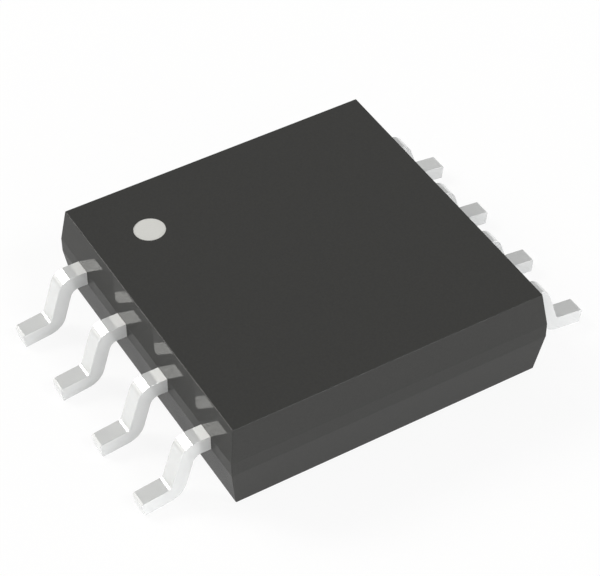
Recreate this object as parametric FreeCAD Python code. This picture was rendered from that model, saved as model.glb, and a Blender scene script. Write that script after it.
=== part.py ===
"""Eight-lead small-outline integrated circuit: moulded body, gull-wing leads and the parts sealed inside.

Millimetres. X runs across the body from one lead row to the other, Y along the rows and Z up.
The origin is under the middle of the body, on the plane that the toes of the leads stand on.
Seen from above with the pin 1 mark at -X +Y, the leads are numbered anticlockwise from that mark.
"""
import FreeCAD, Part
import math
import os

from FreeCAD import Vector

# Moulded body
body_width = 5.262  # across, from row to row, at the parting band
body_length = 5.270  # along the rows, at the parting band
stand_off = 0.060  # air under the body
lower_half_height = 0.717
upper_half_height = 0.574
upper_draft = 7.8  # degrees off vertical, on all four sides
lower_draft = 8.1
edge_radius = 0.014  # on the rims of both flat faces and down the four corners

# Lead frame: one stamped sheet that the mould halves close on, so the band between them is as high
frame_thickness = 0.25
leads_per_side = 4
lead_pitch = 1.27
lead_width = 0.278

# Gull-wing bend of a lead; corners are counted before rounding
shoulder_reach = 0.423  # from the body to the corner where the top line turns down
riser_lean = 17.5  # degrees off vertical
riser_thickness = 0.236  # drawn a little thinner than the sheet by the bending
foot_length = 0.621  # sole, from its heel corner to the toe
foot_thickness = 0.243
foot_slope = 7.5  # degrees, toe down
shoulder_top_radius = 0.22
shoulder_under_radius = 0.15
heel_top_radius = 0.08
heel_under_radius = 0.33

# Flat finger of a lead inside the body
neck_length = 0.20  # as wide as the lead outside
lock_width = 0.52  # the wings that keep the lead from being pulled out
lock_length = 0.32
lock_slot_width = 0.20  # punched through the wings and filled by the compound
lock_slot_length = 0.18
finger_length = 1.00  # from the body's side to the tip
finger_tip_width = 0.44
finger_tip_pitch = 1.00

# Die paddle with a tie bar at each end
paddle_width = 2.80
paddle_length = 3.40
paddle_corner_radius = 0.15
paddle_down_set = 0.20  # below the plane of the leads
tie_bar_width = 0.30
tie_step_start = 0.12  # from the paddle's edge to the foot of the step
tie_step_run = 0.22
tie_bar_cover = 0.12  # compound over the end of the bar at -Y; the bar at +Y is cut flush

# Die and the glue under it
die_width = 1.90
die_length = 2.40
die_thickness = 0.25
glue_thickness = 0.025
glue_spread = 0.07  # beyond the die's edge, at the paddle

# Bond wires
wire_diameter = 0.038
ball_diameter = 0.10  # at the pad, coned up to the wire by the bonding tool
ball_height = 0.036
pad_inset = 0.13  # from the die's edge to the middle of a bond pad
pad_pitch = 0.52
loop_height = 0.17  # top of the wire's centre line above the die
loop_kink = 0.06  # how far the wire leans over, and rises, between its two bends
stitch_inset = 0.18  # from the finger's tip to the end of the wire

# Pin 1 mark, in a round dimple of the top face
mark_diameter = 0.486
mark_from_side = 0.981  # from the body's -X side to the middle of the mark
mark_from_end = 1.078  # from the body's +Y end
dimple_depth = 0.020
mark_thickness = 0.014

# Traces of the mould
ejector_diameter = 0.90
ejector_depth = 0.015
ejector_spacing = 2.60
gate_width = 0.60
gate_height = 0.16
gate_depth = 0.015
gate_offset = 1.30  # from the middle of the +Y end towards +X

# Levels and places that follow from the sizes above
frame_bottom = stand_off + lower_half_height
frame_top = frame_bottom + frame_thickness
body_top = frame_top + upper_half_height
paddle_top = frame_top - paddle_down_set
die_bottom = paddle_top + glue_thickness
die_top = die_bottom + die_thickness
side_x = body_width / 2
end_y = body_length / 2
tip_x = side_x - finger_length
arm_length = finger_length - neck_length - lock_length


def sin(degrees):
    return math.sin(math.radians(degrees))


def cos(degrees):
    return math.cos(math.radians(degrees))


def tan(degrees):
    return math.tan(math.radians(degrees))


def rectangle(half_x, half_y, z):
    """A closed rectangle, centred on the origin, at height z."""
    corners = [(-half_x, -half_y), (half_x, -half_y), (half_x, half_y), (-half_x, half_y)]
    return Part.makePolygon([Vector(x, y, z) for x, y in corners + corners[:1]])


def block(width, length, bottom, top):
    """An upright box, centred on the origin."""
    return Part.makeBox(width, length, top - bottom, Vector(-width / 2, -length / 2, bottom))


def rounded_outline(corners):
    """A closed wire through (point, radius) corners, with an arc for each corner whose radius isn't 0."""
    edges = []
    ends = []
    for i, (here, radius) in enumerate(corners):
        start = finish = here
        if radius > 0:
            back = corners[i - 1][0] - here
            ahead = corners[(i + 1) % len(corners)][0] - here
            half = back.getAngle(ahead) / 2
            # the arc takes at most this share of the straight stretches beside it
            cut = min(radius / math.tan(half), 0.45 * back.Length, 0.45 * ahead.Length)
            start = here + back.normalize() * cut
            finish = here + ahead.normalize() * cut
            inward = (back + ahead).normalize()
            middle = here + inward * cut * (1 / math.cos(half) - math.tan(half))
            edges.append(Part.Arc(start, middle, finish).toShape())
        ends.append((start, finish))
    for i, (start, _) in enumerate(ends):
        edges.append(Part.LineSegment(ends[i - 1][1], start).toShape())
    return Part.Wire(Part.__sortEdges__(edges))


def half_turn(shape):
    """The same shape on the other side, turned by 180 degrees about Z."""
    turned = shape.copy()
    turned.rotate(Vector(0, 0, 0), Vector(0, 0, 1), 180)
    return turned


def body_outline():
    """The outside of the compound: two drafted halves and the upright band where the mould parts."""
    top_inset = upper_half_height * tan(upper_draft)
    bottom_inset = lower_half_height * tan(lower_draft)
    sections = [
        rectangle(side_x - bottom_inset, end_y - bottom_inset, stand_off),
        rectangle(side_x, end_y, frame_bottom),
        rectangle(side_x, end_y, frame_top),
        rectangle(side_x - top_inset, end_y - top_inset, body_top),
    ]
    solid = Part.makeLoft(sections, True, True)
    around_band = [e for e in solid.Edges if is_band_edge(e)]
    rims = [e for e in solid.Edges if not any(e.isSame(b) for b in around_band)]
    return solid.makeFillet(edge_radius, rims)


def is_band_edge(edge):
    """True for the level edges round the top and bottom of the parting band, which stay sharp."""
    box = edge.BoundBox
    level = box.ZLength < 1e-6
    return level and stand_off + 1e-6 < box.ZMin < body_top - 1e-6


def gull_wing():
    """The bent outer part of a lead at +X, centred on Y = 0, reaching a neck's length into the body."""
    riser_top = side_x + shoulder_reach
    riser_run = riser_thickness / cos(riser_lean)
    heel_z = foot_length * tan(foot_slope)

    def riser_front(z):
        return riser_top + (frame_top - z) * tan(riser_lean)

    heel_x = riser_front(heel_z) - riser_run
    toe_x = heel_x + foot_length
    above_toe = foot_thickness / cos(foot_slope)  # to the line of the foot's top, which is cut square at the toe
    # where the riser's front meets the top of the foot
    rise = (above_toe + (toe_x - riser_front(0)) * tan(foot_slope)) / (1 - tan(riser_lean) * tan(foot_slope))
    root_x = side_x - neck_length
    corners = [
        ((root_x, frame_bottom), 0),
        ((riser_front(frame_bottom) - riser_run, frame_bottom), shoulder_under_radius),
        ((heel_x, heel_z), heel_under_radius),
        ((toe_x, 0), 0),
        ((toe_x + foot_thickness * sin(foot_slope), foot_thickness * cos(foot_slope)), 0),
        ((riser_front(rise), rise), heel_top_radius),
        ((riser_top, frame_top), shoulder_top_radius),
        ((root_x, frame_top), 0),
    ]
    low_y = -lead_width / 2
    wire = rounded_outline([(Vector(x, low_y, z), r) for (x, z), r in corners])
    return Part.Face(wire).extrude(Vector(0, lead_width, 0))


def finger(y, tip_y):
    """The flat inner part of a lead at +X: neck, locking wings with a slot, and a tip beside the paddle."""
    wing_x = side_x - neck_length
    arm_x = tip_x + arm_length
    upper = [
        (side_x, y + lead_width / 2),
        (wing_x, y + lead_width / 2),
        (wing_x, y + lock_width / 2),
        (arm_x, y + lock_width / 2),
        (tip_x, tip_y + finger_tip_width / 2),
    ]
    lower = [
        (tip_x, tip_y - finger_tip_width / 2),
        (arm_x, y - lock_width / 2),
        (wing_x, y - lock_width / 2),
        (wing_x, y - lead_width / 2),
        (side_x, y - lead_width / 2),
    ]
    points = [Vector(x, v, frame_bottom) for x, v in upper + lower]
    plate = Part.Face(Part.makePolygon(points + points[:1])).extrude(Vector(0, 0, frame_thickness))
    slot_corner = Vector(wing_x - (lock_length + lock_slot_length) / 2, y - lock_slot_width / 2, frame_bottom)
    return plate.cut(Part.makeBox(lock_slot_length, lock_slot_width, frame_thickness, slot_corner))


def lead(y, tip_y):
    """One lead at +X, bent outer part and finger in one piece."""
    outer = gull_wing()
    outer.translate(Vector(0, y, 0))
    return outer.fuse(finger(y, tip_y)).removeSplitter()


def tie_bar(end, direction):
    """A tie bar from under the paddle's edge to y = end, stepped up to the plane of the leads."""
    edge = direction * paddle_length / 2
    low = edge + direction * tie_step_start
    high = low + direction * tie_step_run
    down = paddle_top - frame_thickness
    lower_line = [(0, down), (low, down), (high, frame_bottom), (end, frame_bottom)]
    upper_line = [(y, z + frame_thickness) for y, z in reversed(lower_line)]
    points = [Vector(-tie_bar_width / 2, y, z) for y, z in lower_line + upper_line]
    return Part.Face(Part.makePolygon(points + points[:1])).extrude(Vector(tie_bar_width, 0, 0))


def die_paddle():
    """The pad that carries the die, pressed down below the leads, with both tie bars."""
    pad = block(paddle_width, paddle_length, paddle_top - frame_thickness, paddle_top)
    corners = [e for e in pad.Edges if e.BoundBox.ZLength > frame_thickness / 2]
    pad = pad.makeFillet(paddle_corner_radius, corners)
    near = tie_bar(-end_y + tie_bar_cover, -1)
    far = tie_bar(end_y, 1)
    return pad.fuse([near, far]).removeSplitter()


def die_attach():
    """The glue between paddle and die, spread to a low slope round the die's edge."""
    spread = rectangle(die_width / 2 + glue_spread, die_length / 2 + glue_spread, paddle_top)
    return Part.makeLoft([spread, rectangle(die_width / 2, die_length / 2, die_bottom)], True, True)


def bond_wire(pad_y, y, tip_y):
    """A wire at +X: a squashed ball on the pad, a short rise, a kink over the top and a straight fall."""
    pad_x = die_width / 2 - pad_inset
    stitch_x = tip_x + stitch_inset
    # on the middle line of the finger's arm
    stitch_y = tip_y + (y - tip_y) * stitch_inset / arm_length
    run = math.hypot(stitch_x - pad_x, stitch_y - pad_y)
    along = Vector((stitch_x - pad_x) / run, (stitch_y - pad_y) / run, 0)

    def point(s, z):
        return Vector(pad_x, pad_y, z) + along * s

    peak = die_top + loop_height
    fall = (peak - frame_top) / (run - loop_kink)
    # the straight stretch is carried on through the finger's top, then cut off level with it
    past = run + 2 * wire_diameter / fall
    foot = point(0, die_top + ball_height / 2)
    path = Part.makePolygon([foot, point(0, peak - loop_kink), point(loop_kink, peak),
                             point(past, peak - fall * (past - loop_kink))])
    section = Part.Wire(Part.makeCircle(wire_diameter / 2, foot, Vector(0, 0, 1)))
    wire = path.makePipeShell([section], True, False, 1)
    below = Part.makeBox(body_width, body_length, frame_thickness, Vector(0, -end_y, frame_bottom))
    ball = Part.makeCone(ball_diameter / 2, wire_diameter / 2, ball_height, point(0, die_top))
    return wire.cut(below).fuse(ball).removeSplitter()


def pin_1_mark():
    """The disc of ink on the floor of the dimple."""
    centre = Vector(-side_x + mark_from_side, end_y - mark_from_end, body_top - dimple_depth)
    return Part.makeCylinder(mark_diameter / 2, mark_thickness, centre)


def mould_traces():
    """What is pressed into the compound: the dimple, two ejector marks underneath and the gate's scar."""
    dimple_foot = Vector(-side_x + mark_from_side, end_y - mark_from_end, body_top - dimple_depth)
    traces = [Part.makeCylinder(mark_diameter / 2, dimple_depth, dimple_foot)]
    for y in (-ejector_spacing / 2, ejector_spacing / 2):
        traces.append(Part.makeCylinder(ejector_diameter / 2, ejector_depth, Vector(0, y, stand_off)))
    gate_corner = Vector(gate_offset - gate_width / 2, end_y - gate_depth, frame_top - gate_height)
    traces.append(Part.makeBox(gate_width, gate_depth, gate_height, gate_corner))
    return traces


def moulded_body(sealed_in):
    """The compound, cast round every piece in sealed_in."""
    return body_outline().cut(mould_traces()).cut(sealed_in)


def all_parts():
    """Every piece by its name."""
    parts = {}
    middle = (leads_per_side - 1) / 2
    for i in range(leads_per_side):
        y, tip_y, pad_y = [(i - middle) * pitch for pitch in (lead_pitch, finger_tip_pitch, pad_pitch)]
        here = lead(y, tip_y)
        wire = bond_wire(pad_y, y, tip_y)
        first, opposite = i + 1, i + 1 + leads_per_side
        parts[f"lead_{first}"], parts[f"lead_{opposite}"] = half_turn(here), here
        parts[f"bond_wire_{first}"], parts[f"bond_wire_{opposite}"] = half_turn(wire), wire
    parts["die_paddle"] = die_paddle()
    parts["die_attach"] = die_attach()
    parts["silicon_die"] = block(die_width, die_length, die_bottom, die_top)
    parts["moulded_body"] = moulded_body(list(parts.values()))
    parts["pin_1_mark"] = pin_1_mark()
    return parts


os.makedirs("parts", exist_ok=True)
for name, shape in all_parts().items():
    solid = shape.Solids[0] if len(shape.Solids) == 1 else shape
    solid.exportStep(f"parts/{name}.step")
    print(name, "solids", len(shape.Solids), "valid", solid.isValid(), "mm3", round(solid.Volume, 5))
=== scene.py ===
import math

import bpy
import numpy as np
from mathutils import Matrix, Vector


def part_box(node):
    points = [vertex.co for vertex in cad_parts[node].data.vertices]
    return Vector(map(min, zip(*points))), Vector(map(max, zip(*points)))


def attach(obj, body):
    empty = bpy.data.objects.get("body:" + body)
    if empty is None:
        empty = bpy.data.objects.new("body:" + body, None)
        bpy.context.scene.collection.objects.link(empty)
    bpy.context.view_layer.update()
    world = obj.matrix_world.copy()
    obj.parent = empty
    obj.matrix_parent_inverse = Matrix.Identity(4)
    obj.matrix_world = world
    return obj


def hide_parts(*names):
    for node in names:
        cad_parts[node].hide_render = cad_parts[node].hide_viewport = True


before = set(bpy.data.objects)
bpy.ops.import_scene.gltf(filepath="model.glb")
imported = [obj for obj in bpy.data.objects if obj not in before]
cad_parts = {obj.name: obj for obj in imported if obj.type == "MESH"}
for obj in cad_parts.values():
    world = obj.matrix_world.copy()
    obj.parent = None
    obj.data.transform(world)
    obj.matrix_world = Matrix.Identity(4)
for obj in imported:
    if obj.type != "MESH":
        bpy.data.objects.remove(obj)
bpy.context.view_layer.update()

mm = 0.001

# Leads
# Eight strips stamped from one sheet of copper alloy, bent to gull wings and plated with matte tin.
# The flat inner end of each is locked in the compound, and the outer end steps down to its solder land.

sheet_thickness = 0.25 * mm
lead_width = 0.278 * mm
lead_pitch = 1.27 * mm
lead_edge = 0.005 * mm  # rounding that stamping and plating leave along the edges
shoulder_reach = 0.423 * mm  # from the body to the corner where the top line turns down
riser_lean = math.radians(17.5)  # off vertical
riser_thickness = 0.236 * mm  # drawn a little thinner than the sheet by the bending
foot_slope = math.radians(7.5)
foot_length = 0.621 * mm
foot_thickness = 0.243 * mm
shoulder_top_radius = 0.26 * mm
shoulder_under_radius = 0.15 * mm
heel_top_radius = 0.06 * mm
heel_under_radius = 0.33 * mm
toe_roll_back = 0.031 * mm  # the shear turns the toe's upper edge down: how far along the foot,
toe_roll_down = 0.022 * mm  # and how far down its end
toe_burr = 0.002 * mm  # the lower edge, the same both ways
toe_corner_radius = 0.001 * mm
toe_flat = 0.01 * mm  # half the height of the end cap, in the middle of the sheared face
neck_length = 0.20 * mm
wing_length = 0.32 * mm
wing_width = 0.52 * mm
tip_width = 0.44 * mm
tip_pitch = 1.00 * mm
arc_steps = 14
edge_steps = 3

lead_low, lead_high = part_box("lead_5")
side_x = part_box("moulded_body")[1].x
toe_x = lead_high.x - foot_thickness * math.sin(foot_slope)  # the sole's end: the toe is sheared square
tip_x = lead_low.x
sheet_top = lead_high.z
sheet_bottom = sheet_top - sheet_thickness


def rounded_line(corners, radii):
    """Points along an open line of corners, and the line's direction at each. Every inner corner gives an
    arc that touches both of its sides: its centre lies on the corner's bisector, and the direction turns
    evenly."""
    corners = np.array(corners, float)
    radius = np.array(radii, float)[:, None]
    runs = np.diff(corners, axis=0)
    runs /= np.linalg.norm(runs, axis=1)[:, None]
    before, after = runs[:-1], runs[1:]
    turn = np.arccos((before * after).sum(1))[:, None]
    to_centre = (after - before) / np.linalg.norm(after - before, axis=1)[:, None]
    centre = corners[1:-1] + to_centre * radius / np.cos(turn / 2)
    start = corners[1:-1] - before * radius * np.tan(turn / 2)
    out = (start - centre) / radius
    angle = (np.linspace(0, 1, arc_steps) * turn)[:, :, None]
    out, before = out[:, None], before[:, None]
    arcs = centre[:, None] + radius[:, None] * (out * np.cos(angle) + before * np.sin(angle))
    turning = before * np.cos(angle) - out * np.sin(angle)
    points = np.concatenate([corners[:1], arcs.reshape(-1, 2), corners[-1:]])
    return points, np.concatenate([runs[:1], turning.reshape(-1, 2), runs[-1:]])


def lead_lines():
    """The top and bottom line of a lead at +X, each as (x, z) points and directions in pairs: level through
    the shoulder, down the leaning riser, out along the sloping foot and in from both sides over the toe's
    sheared face, with an arc at each bend."""
    riser_top = side_x + shoulder_reach
    riser_run = riser_thickness / math.cos(riser_lean)
    lean, slope = math.tan(riser_lean), math.tan(foot_slope)
    heel_z = foot_length * slope
    above_toe = foot_thickness / math.cos(foot_slope)
    out = np.array([math.cos(foot_slope), -math.sin(foot_slope)])
    up = np.array([math.sin(foot_slope), math.cos(foot_slope)])
    toe = np.array([toe_x, 0.0])
    toe_top = toe + up * foot_thickness
    front_foot = riser_top + sheet_top * lean
    meet_z = (above_toe + (toe_x - front_foot) * slope) / (1 - lean * slope)
    top = rounded_line(
        [(side_x, sheet_top), (riser_top, sheet_top), (front_foot - meet_z * lean, meet_z),
         toe_top - out * toe_roll_back, toe_top - up * toe_roll_down,
         toe + up * (foot_thickness / 2 + toe_flat)],
        [shoulder_top_radius, heel_top_radius, toe_corner_radius, toe_corner_radius])
    back_top = riser_top + sheet_thickness * lean - riser_run
    bottom = rounded_line(
        [(side_x, sheet_bottom), (back_top, sheet_bottom), (toe_x - foot_length, heel_z),
         toe - out * toe_burr, toe + up * toe_burr, toe + up * (foot_thickness / 2 - toe_flat)],
        [shoulder_under_radius, heel_under_radius, toe_corner_radius, toe_corner_radius])
    return top, bottom


def ring_mesh(name, rings, normals):
    """A closed mesh from a grid of points and their normals: rings of equal length joined by quads, with a
    flat cap at each end. A face that the given normals don't suit, such as a step in width, is shaded
    flat."""
    count, around = rings.shape[:2]
    index = np.arange(count * around).reshape(count, around)
    turned = np.roll(index, -1, axis=1)
    quads = np.stack([index[:-1], turned[:-1], turned[1:], index[1:]], axis=-1).reshape(-1, 4)
    mesh = bpy.data.meshes.new(name)
    mesh.from_pydata(rings.reshape(-1, 3).tolist(), [],
                     quads.tolist() + [index[0, ::-1].tolist(), index[-1].tolist()])
    mesh.shade_smooth()
    flat = np.array([face.normal[:] for face in mesh.polygons])
    flat, caps = flat[:-2, None], np.repeat(flat[-2:], around, axis=0)
    given = normals.reshape(-1, 3)[quads]
    suiting_cosine = 0.9  # a normal suits a face that it leans from by less than about 26 degrees
    suits = (given * flat).sum(axis=2, keepdims=True) > suiting_cosine
    corner_normals = np.where(suits, given, flat).reshape(-1, 3)
    mesh.normals_split_custom_set(np.concatenate([corner_normals, caps]).tolist())
    piece = bpy.data.objects.new(name, mesh)
    bpy.context.scene.collection.objects.link(piece)
    return piece


def lead_rings(y, tip_y):
    """A lead at +X and its normals: a rectangle with rounded edges, carried from the finger's tip to the
    toe. At each station it reaches from the bottom line to the top line, and its middle and width follow
    the tip, the wings and the neck. Each normal turns through the rounded edge, from sideways to square to
    the line."""
    (top, top_way), (bottom, bottom_way) = lead_lines()
    wing_x = side_x - neck_length
    finger_x = np.array([tip_x, wing_x - wing_length, wing_x, wing_x])
    top = np.concatenate([np.stack([finger_x, np.full_like(finger_x, sheet_top)], 1), top])
    bottom = np.concatenate([np.stack([finger_x, np.full_like(finger_x, sheet_bottom)], 1), bottom])
    level_way = np.tile([1.0, 0.0], (len(finger_x), 1))
    top_way, bottom_way = np.concatenate([level_way, top_way]), np.concatenate([level_way, bottom_way])
    half_width = np.full((len(top), 1), lead_width / 2)
    half_width[:3, 0] = tip_width / 2, wing_width / 2, wing_width / 2
    middle_y = np.full((len(top), 1), y)
    middle_y[0] = tip_y
    middle = (top + bottom) / 2
    thickness = np.linalg.norm(top - bottom, axis=1)[:, None]
    upward = (top - bottom) / thickness

    quarter = np.linspace(0, np.pi / 2, edge_steps + 1)
    corner_turns = np.arange(4)[:, None] * np.pi / 2
    angle = (quarter + corner_turns).ravel()
    side = np.repeat([1, -1, -1, 1], edge_steps + 1)
    level = np.repeat([1, 1, -1, -1], edge_steps + 1)
    across = side * (half_width - lead_edge) + lead_edge * np.cos(angle)
    above = level * (thickness / 2 - lead_edge) + lead_edge * np.sin(angle)
    way = np.where(level[None, :, None] > 0, top_way[:, None], bottom_way[:, None])
    rings = np.stack([middle[:, :1] + above * upward[:, :1], middle_y + across,
                      middle[:, 1:] + above * upward[:, 1:]], axis=-1)
    sideways = np.broadcast_to(np.cos(angle), across.shape)
    normals = np.stack([-np.sin(angle) * way[..., 1], sideways, np.sin(angle) * way[..., 0]], axis=-1)
    return rings, normals


def linear(code):
    """An sRGB hex colour as linear red, green, blue and alpha."""
    value = np.array([int(code[i:i + 2], 16) for i in (1, 3, 5)]) / 255
    value = np.where(value <= 0.04045, value / 12.92, ((value + 0.055) / 1.055) ** 2.4)
    return (*value.tolist(), 1.0)


def add(tree, kind, sockets=(), **settings):
    """Adds a node, gives it its settings, and sets each named socket to a value or links it to an output."""
    made = tree.nodes.new(kind)
    for name, value in settings.items():
        setattr(made, name, value)
    for name, value in dict(sockets).items():
        if isinstance(value, bpy.types.NodeSocket):
            tree.links.new(value, made.inputs[name])
        else:
            made.inputs[name].default_value = value
    return made


def new_material(name):
    """A material with an empty node tree, and that tree."""
    material = bpy.data.materials.new(name)
    material.use_nodes = True
    material.node_tree.nodes.clear()
    return material, material.node_tree


def matte_tin_plate():
    """Matte tin electroplate. Its grains scatter about two thirds of the light like white paint, and the
    skin between them mirrors the rest, so a lead looks milky and still shows crisp reflections. The sides,
    which face along Y, were sheared by the stamping: they are rougher under the plate and mirror less."""
    material, tree = new_material("matte_tin_plate")
    surface = add(tree, "ShaderNodeTexCoord")
    place = surface.outputs["Object"]
    rolled_mirror, sheared_mirror = 0.32, 0.14
    shear_roughness = 0.05
    side_starts, side_full = 0.5, 0.9  # of the normal's share along Y
    along_y = add(tree, "ShaderNodeSeparateXYZ", {"Vector": surface.outputs["Normal"]}).outputs["Y"]
    sheared = add(tree, "ShaderNodeMath", {0: along_y}, operation="ABSOLUTE").outputs[0]
    mirror = add(tree, "ShaderNodeMapRange", {
        "Value": sheared, "From Min": side_starts, "From Max": side_full,
        "To Min": rolled_mirror, "To Max": sheared_mirror})
    shear_marks = add(tree, "ShaderNodeMapRange", {
        "Value": sheared, "From Min": side_starts, "From Max": side_full,
        "To Min": 0.0, "To Max": shear_roughness})
    grain_size = 0.03 * mm  # real grains are 0.003 to 0.008 mm, too fine to show
    cloud_size = 0.25 * mm
    grain = add(tree, "ShaderNodeTexNoise", {"Vector": place, "Scale": 1 / grain_size, "Detail": 3.0})
    cloud = add(tree, "ShaderNodeTexNoise", {"Vector": place, "Scale": 1 / cloud_size, "Detail": 2.0})
    tint = add(tree, "ShaderNodeMix", {"Factor": cloud.outputs["Fac"], "A": linear("#dadbdb"),
                                       "B": linear("#e1e2e2")}, data_type="RGBA")
    dull = add(tree, "ShaderNodeMapRange", {"Value": cloud.outputs["Fac"], "From Min": 0.3, "From Max": 0.7,
                                            "To Min": 0.07, "To Max": 0.11})
    rough = add(tree, "ShaderNodeMath", {0: dull.outputs["Result"], 1: shear_marks.outputs["Result"]},
                operation="ADD")
    bump = add(tree, "ShaderNodeBump", {"Height": grain.outputs["Fac"], "Strength": 0.1,
                                        "Distance": 0.001 * mm})
    plate = add(tree, "ShaderNodeBsdfPrincipled", {
        "Base Color": tint.outputs["Result"], "Metallic": mirror.outputs["Result"],
        "Roughness": rough.outputs[0], "Normal": bump.outputs["Normal"]})
    add(tree, "ShaderNodeOutputMaterial", {"Surface": plate.outputs["BSDF"]})
    return material


tin_plate = matte_tin_plate()
leads_per_side = 4
half_turn = np.array([-1, -1, 1])  # the left leads are the right ones, turned half round
for i in range(leads_per_side):
    offset = i - (leads_per_side - 1) / 2
    rings, normals = lead_rings(offset * lead_pitch, offset * tip_pitch)
    for number, way in ((i + 1 + leads_per_side, 1), (i + 1, half_turn)):
        lead = ring_mesh(f"plated_lead_{number}", rings * way, normals * way)
        lead.data.materials.append(tin_plate)
        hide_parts(f"lead_{number}")
        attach(lead, "root")

# Die paddle
# The middle pad of the same copper sheet, pressed down and held by a tie bar at each end.
# It is bare rolled copper alloy under the compound, with fine lines along the roll.


def rolled_copper():
    """Rolled copper alloy: warm, fairly bright metal, duller in streaks that run with the roll."""
    material, tree = new_material("rolled_copper_alloy")
    place = add(tree, "ShaderNodeTexCoord").outputs["Object"]
    streak_width = 0.02 * mm
    streak_length = 0.5 * mm
    along_roll = streak_width / streak_length
    stretch = add(tree, "ShaderNodeMapping", {"Vector": place, "Scale": (1.0, along_roll, 1.0)})
    streak = add(tree, "ShaderNodeTexNoise", {"Vector": stretch.outputs["Vector"], "Scale": 1 / streak_width,
                                              "Detail": 4.0})
    tint = add(tree, "ShaderNodeMix", {"Factor": streak.outputs["Fac"], "A": linear("#b56a45"),
                                       "B": linear("#d8926c")}, data_type="RGBA")
    dull = add(tree, "ShaderNodeMapRange", {"Value": streak.outputs["Fac"], "To Min": 0.22, "To Max": 0.42})
    bump = add(tree, "ShaderNodeBump", {"Height": streak.outputs["Fac"], "Strength": 0.3,
                                        "Distance": 0.002 * mm})
    copper = add(tree, "ShaderNodeBsdfPrincipled", {
        "Base Color": tint.outputs["Result"], "Metallic": 1.0, "Roughness": dull.outputs["Result"],
        "Normal": bump.outputs["Normal"]})
    add(tree, "ShaderNodeOutputMaterial", {"Surface": copper.outputs["BSDF"]})
    return material


def dress(node, material):
    """Gives a carried-over solid its one material."""
    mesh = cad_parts[node].data
    mesh.materials.clear()
    mesh.materials.append(material)


dress("die_paddle", rolled_copper())

# Die attach
# A film of epoxy filled with silver flakes that glues the chip to the paddle. It goes on as a paste, is
# pressed out round the chip's edge and is cured by heat.


def silver_epoxy():
    """Silver-filled epoxy: pale grey paste with flakes that each catch the light by themselves."""
    material, tree = new_material("silver_filled_epoxy")
    place = add(tree, "ShaderNodeTexCoord").outputs["Object"]
    flake_size = 0.012 * mm
    flake = add(tree, "ShaderNodeTexVoronoi", {"Vector": place, "Scale": 1 / flake_size})
    tone = add(tree, "ShaderNodeSeparateColor", {"Color": flake.outputs["Color"]}).outputs["Red"]
    tint = add(tree, "ShaderNodeMix", {"Factor": tone, "A": linear("#9a9a96"), "B": linear("#d2d2ce")},
               data_type="RGBA")
    bump = add(tree, "ShaderNodeBump", {"Height": tone, "Strength": 0.4, "Distance": 0.002 * mm})
    glue = add(tree, "ShaderNodeBsdfPrincipled", {
        "Base Color": tint.outputs["Result"], "Metallic": 0.7, "Roughness": 0.45,
        "Normal": bump.outputs["Normal"]})
    add(tree, "ShaderNodeOutputMaterial", {"Surface": glue.outputs["BSDF"]})
    return material


dress("die_attach", silver_epoxy())

# Silicon die
# The chip itself, sawn from a polished wafer of silicon and set into the glue.
# Its circuit shows as small blocks under clear glass.


def circuit_silicon():
    """Processed silicon: a dark blue-grey mirror, broken into blocks that differ a little in their
    interference tint."""
    material, tree = new_material("silicon_with_circuit_layers")
    place = add(tree, "ShaderNodeTexCoord").outputs["Object"]
    block_size = 0.12 * mm
    blocks = add(tree, "ShaderNodeTexVoronoi", {"Vector": place, "Scale": 1 / block_size},
                 distance="CHEBYCHEV")
    tint = add(tree, "ShaderNodeMix", {"Factor": blocks.outputs["Distance"], "A": linear("#4d5a78"),
                                       "B": linear("#75708c")}, data_type="RGBA")
    silicon = add(tree, "ShaderNodeBsdfPrincipled", {
        "Base Color": tint.outputs["Result"], "Metallic": 0.6, "Roughness": 0.12, "Coat Weight": 1.0,
        "Coat Roughness": 0.04})
    add(tree, "ShaderNodeOutputMaterial", {"Surface": silicon.outputs["BSDF"]})
    return material


dress("silicon_die", circuit_silicon())

# Bond wires
# Eight drawn gold wires, one to each lead. A ball welds each to a pad of the die, and its other end is
# wedged on the lead's finger.


def drawn_gold():
    """Drawn gold: a bright warm mirror with the faintest specks of duller metal left by the drawing."""
    material, tree = new_material("drawn_gold")
    place = add(tree, "ShaderNodeTexCoord").outputs["Object"]
    mark_size = 0.006 * mm
    marks = add(tree, "ShaderNodeTexNoise", {"Vector": place, "Scale": 1 / mark_size, "Detail": 2.0})
    dull = add(tree, "ShaderNodeMapRange", {"Value": marks.outputs["Fac"], "To Min": 0.12, "To Max": 0.26})
    tint = add(tree, "ShaderNodeMix", {"Factor": marks.outputs["Fac"], "A": linear("#f2c25e"),
                                       "B": linear("#ffdc8a")}, data_type="RGBA")
    wire = add(tree, "ShaderNodeBsdfPrincipled", {
        "Base Color": tint.outputs["Result"], "Metallic": 1.0, "Roughness": dull.outputs["Result"]})
    add(tree, "ShaderNodeOutputMaterial", {"Surface": wire.outputs["BSDF"]})
    return material


gold = drawn_gold()
for number in range(1, 2 * leads_per_side + 1):
    dress(f"bond_wire_{number}", gold)

# Moulded body
# One shot of black epoxy compound, full of ground silica, pressed round the lead frame in a steel mould.
# Both halves leave the mould with drafted sides, and the upright band between them is the parting line.


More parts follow.
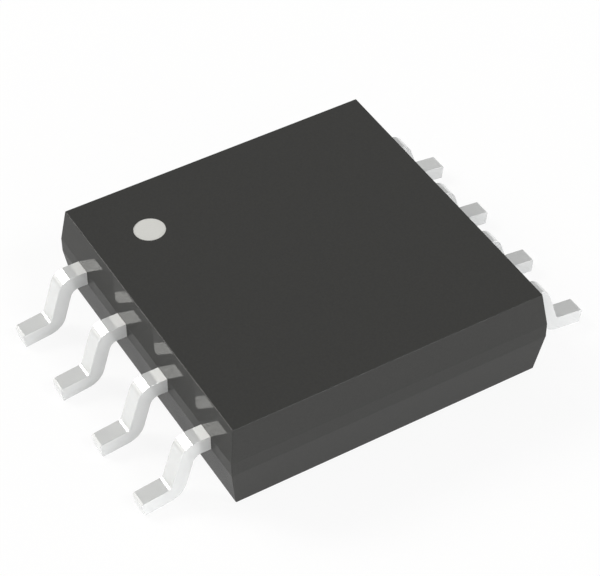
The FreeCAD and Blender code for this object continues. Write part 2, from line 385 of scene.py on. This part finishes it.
def black_moulding_compound():
    """Transfer-moulded epoxy compound: near black, smooth from the polished mould, with a tight grey
    reflection that grows towards grazing sides and a very fine grain of silica under the skin."""
    material, tree = new_material("black_epoxy_moulding_compound")
    place = add(tree, "ShaderNodeTexCoord").outputs["Object"]
    silica_size = 0.03 * mm
    cloud_size = 0.9 * mm
    silica = add(tree, "ShaderNodeTexNoise", {"Vector": place, "Scale": 1 / silica_size, "Detail": 2.0})
    cloud = add(tree, "ShaderNodeTexNoise", {"Vector": place, "Scale": 1 / cloud_size, "Detail": 3.0})
    tint = add(tree, "ShaderNodeMix", {"Factor": silica.outputs["Fac"], "A": linear("#363635"),
                                       "B": linear("#3d3d3c")}, data_type="RGBA")
    dull = add(tree, "ShaderNodeMapRange", {"Value": cloud.outputs["Fac"], "From Min": 0.3, "From Max": 0.7,
                                            "To Min": 0.5, "To Max": 0.6})
    bump = add(tree, "ShaderNodeBump", {"Height": silica.outputs["Fac"], "Strength": 0.05,
                                        "Distance": 0.001 * mm})
    compound = add(tree, "ShaderNodeBsdfPrincipled", {
        "Base Color": tint.outputs["Result"], "Roughness": dull.outputs["Result"], "Specular IOR Level": 0.0,
        "Coat Weight": 0.33, "Coat Roughness": 0.03, "Normal": bump.outputs["Normal"]})
    add(tree, "ShaderNodeOutputMaterial", {"Surface": compound.outputs["BSDF"]})
    return material


dress("moulded_body", black_moulding_compound())

# Pin 1 mark
# A disc of pale marking ink laid in the shallow dimple of the top face and cured flat.
# It shows which lead is the first.


def pale_ink():
    """Cured marking ink: an even, warm light grey with a chalky surface."""
    material, tree = new_material("pale_marking_ink")
    place = add(tree, "ShaderNodeTexCoord").outputs["Object"]
    speck_size = 0.02 * mm
    speck = add(tree, "ShaderNodeTexNoise", {"Vector": place, "Scale": 1 / speck_size, "Detail": 3.0})
    tint = add(tree, "ShaderNodeMix", {"Factor": speck.outputs["Fac"], "A": linear("#c9c9c6"),
                                       "B": linear("#d1d1ce")}, data_type="RGBA")
    bump = add(tree, "ShaderNodeBump", {"Height": speck.outputs["Fac"], "Strength": 0.1,
                                        "Distance": 0.001 * mm})
    ink = add(tree, "ShaderNodeBsdfPrincipled", {
        "Base Color": tint.outputs["Result"], "Roughness": 0.6, "Normal": bump.outputs["Normal"]})
    add(tree, "ShaderNodeOutputMaterial", {"Surface": ink.outputs["BSDF"]})
    return material


dress("pin_1_mark", pale_ink())

# Floor
# A plain white sweep that the part stands on by its toes. It is white to the eye and in reflections, and
# nine tenths of that white is its own, so that the part's shadow stays but is very light.

floor_half = 2.0
floor_own_light = 0.9


def white_sweep():
    """Matt white paint. For the camera and in mirror-like surfaces most of its white is light of its own."""
    material, tree = new_material("white_sweep")
    ray = add(tree, "ShaderNodeLightPath")
    seen = add(tree, "ShaderNodeMath", {0: ray.outputs["Is Camera Ray"], 1: ray.outputs["Is Glossy Ray"]},
               operation="MAXIMUM")
    seen = add(tree, "ShaderNodeMath", {0: seen.outputs[0], 1: ray.outputs["Is Transmission Ray"]},
               operation="MAXIMUM")
    share = add(tree, "ShaderNodeMath", {0: seen.outputs[0], 1: floor_own_light}, operation="MULTIPLY")
    paint = add(tree, "ShaderNodeBsdfDiffuse", {"Color": linear("#fafafa")})
    glow = add(tree, "ShaderNodeEmission", {"Color": linear("#ffffff"), "Strength": 1.0})
    floor_white = add(tree, "ShaderNodeMixShader", {"Fac": share.outputs[0], 1: paint.outputs["BSDF"],
                                                    2: glow.outputs["Emission"]})
    add(tree, "ShaderNodeOutputMaterial", {"Surface": floor_white.outputs["Shader"]})
    return material


floor_mesh = bpy.data.meshes.new("floor")
floor_corners = floor_half * np.array([(-1, -1, 0), (1, -1, 0), (1, 1, 0), (-1, 1, 0)])
floor_mesh.from_pydata(floor_corners.tolist(), [], [(0, 1, 2, 3)])
floor = bpy.data.objects.new("floor", floor_mesh)
bpy.context.scene.collection.objects.link(floor)
floor_mesh.materials.append(white_sweep())

# Studio light
# A white room, dim behind the part and bright low in front. The left side and the lead bends mirror the warm
# wide softbox and its core, the shoulders mirror the two strips by way of the body's side and the rear card
# straight, and the front softbox lights the front faces and makes their upper edge glint.

front_horizon, front_zenith, room_back = 4.2, 0.12, 0.29  # brightness, where 1 is white
zenith_begins = 0.5  # height of the direction looked in, where straight up is 1
back_begins = 0.4  # its share along Y; the front ends at the same share the other way
world = bpy.data.worlds.new("white_room")
bpy.context.scene.world = world
world.use_nodes = True
sky = world.node_tree
sky.nodes.clear()
looked_in = add(sky, "ShaderNodeTexCoord").outputs["Generated"]
direction = add(sky, "ShaderNodeSeparateXYZ", {"Vector": looked_in})
front = add(sky, "ShaderNodeMapRange", {
    "Value": direction.outputs["Z"], "From Min": 0.0, "From Max": zenith_begins,
    "To Min": front_horizon, "To Max": front_zenith}, interpolation_type="SMOOTHSTEP")
level = add(sky, "ShaderNodeMapRange", {
    "Value": direction.outputs["Y"], "From Min": -back_begins, "From Max": back_begins,
    "To Min": front.outputs["Result"], "To Max": room_back}, interpolation_type="SMOOTHSTEP")
room = add(sky, "ShaderNodeBackground", {"Color": linear("#ffffff"), "Strength": level.outputs["Result"]})
add(sky, "ShaderNodeOutputWorld", {"Surface": room.outputs["Background"]})

lamp_distance = 0.30
warm, plain = (1.0, 0.99, 0.95), (1.0, 1.0, 1.0)


def softbox(name, low, high, near, far, radiance, tint):
    """A flat lamp at lamp_distance from the Y axis, its sides along Y. Seen along that axis it fills the
    angles low to high, measured from straight up towards -X, and it runs from near to far along Y. Its power
    gives each point of it the radiance asked for, and its tint is the colour of that light."""
    roll, half = math.radians((low + high) / 2), math.radians((high - low) / 2)
    width = 2 * lamp_distance * math.tan(half)
    data = bpy.data.lights.new(name, "AREA")
    data.shape = "RECTANGLE"
    data.size = width
    data.size_y = far - near
    data.energy = radiance * math.pi * width * (far - near)
    data.color = tint
    lamp = bpy.data.objects.new(name, data)
    overhead = Matrix.Translation((0, (near + far) / 2, lamp_distance))
    lamp.matrix_world = Matrix.Rotation(-roll, 4, "Y") @ overhead
    bpy.context.scene.collection.objects.link(lamp)


softbox("wide_softbox", 0, 82, 0.165, 0.465, 0.9, warm)
softbox("softbox_upper_half", 0, 41, 0.175, 0.360, 0.7, warm)
softbox("softbox_core", 22, 56, 0.185, 0.330, 11.7, warm)
softbox("near_strip", 2, 10, 0.190, 0.250, 11.1, warm)
softbox("far_strip", 2, 10, 0.250, 0.310, 7.0, warm)
softbox("rear_card", -38, -13, 0.165, 0.370, 0.15, plain)
softbox("front_softbox", -34, -14, -0.30, -0.17, 12.0, plain)

# Camera
# It stands in front of the part and to its left, as in the photograph, and looks down at about 45 degrees.
# Its values come from fitting the part's own corners and edges to the photograph, 600 pixels wide.

camera_azimuth = math.radians(-30.317)
camera_elevation = math.radians(44.561)
camera_roll = math.radians(-0.391)
camera_distance = 32.676 * mm
camera_aim = Vector((-0.064, -0.1315, 1.007)) * mm
focal_pixels = 2210.3
frame_pixels = 600
sensor_width = 36.0

camera_data = bpy.data.cameras.new("camera")
camera_data.sensor_width = sensor_width
camera_data.lens = focal_pixels * sensor_width / frame_pixels
camera_data.clip_start = 1 * mm
camera_data.clip_end = 10.0
camera = bpy.data.objects.new("camera", camera_data)
outward = Vector((math.sin(camera_azimuth) * math.cos(camera_elevation),
                  -math.cos(camera_azimuth) * math.cos(camera_elevation), math.sin(camera_elevation)))
level_view = (-outward).to_track_quat("-Z", "Y").to_matrix().to_4x4()
camera.matrix_world = (Matrix.Translation(camera_aim + outward * camera_distance) @ level_view
                       @ Matrix.Rotation(camera_roll, 4, "Z"))
bpy.context.scene.collection.objects.link(camera)
bpy.context.scene.camera = camera
bpy.context.scene.view_settings.view_transform = "Standard"
